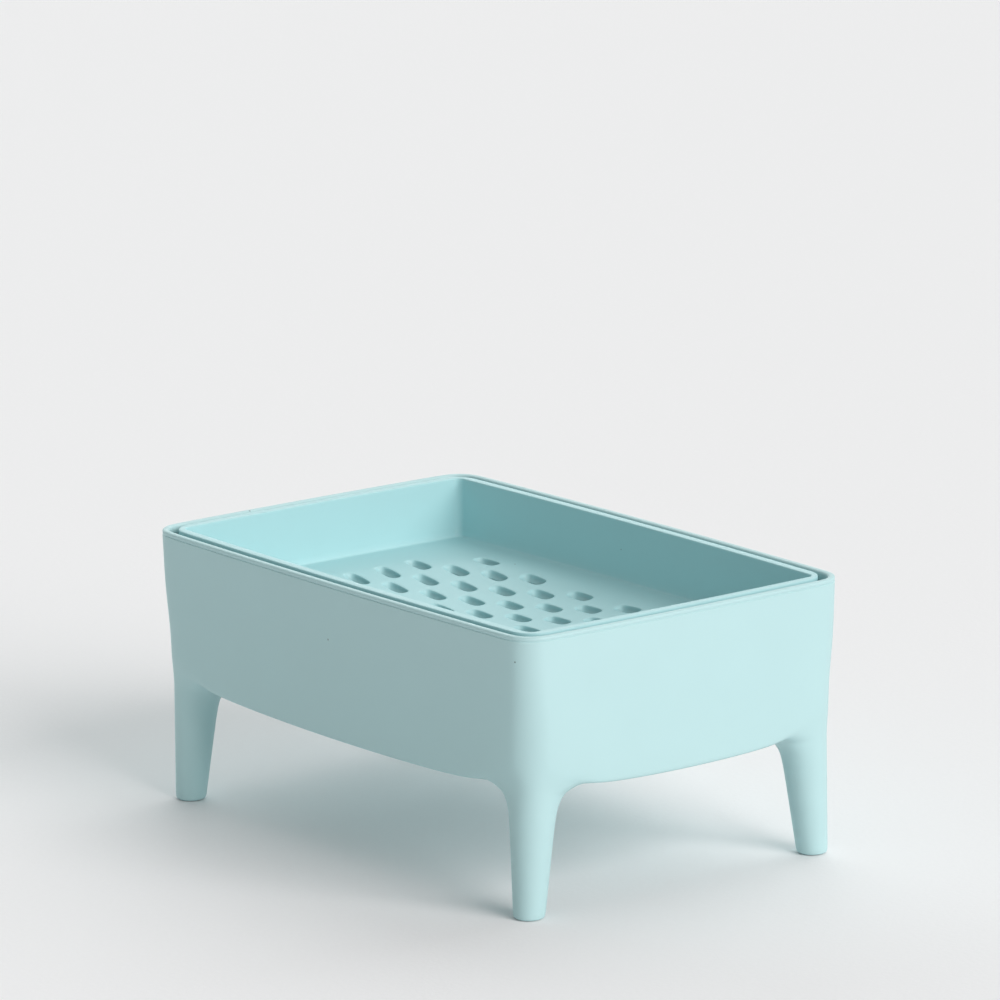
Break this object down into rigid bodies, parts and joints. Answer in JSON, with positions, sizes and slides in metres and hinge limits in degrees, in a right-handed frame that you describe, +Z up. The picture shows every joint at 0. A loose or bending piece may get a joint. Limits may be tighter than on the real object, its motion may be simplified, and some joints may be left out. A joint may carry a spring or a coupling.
{
  "type": "soap dish",
  "caption": "Pale aqua moulded soap dish: a loose tray with staggered drain scoops lies in a rectangular catch bowl that stands on tapered round legs.",
  "frame": {"origin": "on the table, under the middle of the dish", "axes": "+X along the length, +Y along the width, +Z up"},
  "size_m": [0.13, 0.085, 0.0588],
  "materials": {
    "bowl_plastic": "satin moulded",
    "tray_plastic": "satin moulded"
  },
  "bodies": {
    "bowl": {"catch_bowl": "bowl_plastic"},
    "tray": {"soap_tray": "tray_plastic"}
  },
  "joints": [
    {"name": "tray_lift", "type": "slide", "parent": "bowl", "child": "tray", "axis": [0, 0, 1], "range_m": [0, 0.025]}
  ]
}
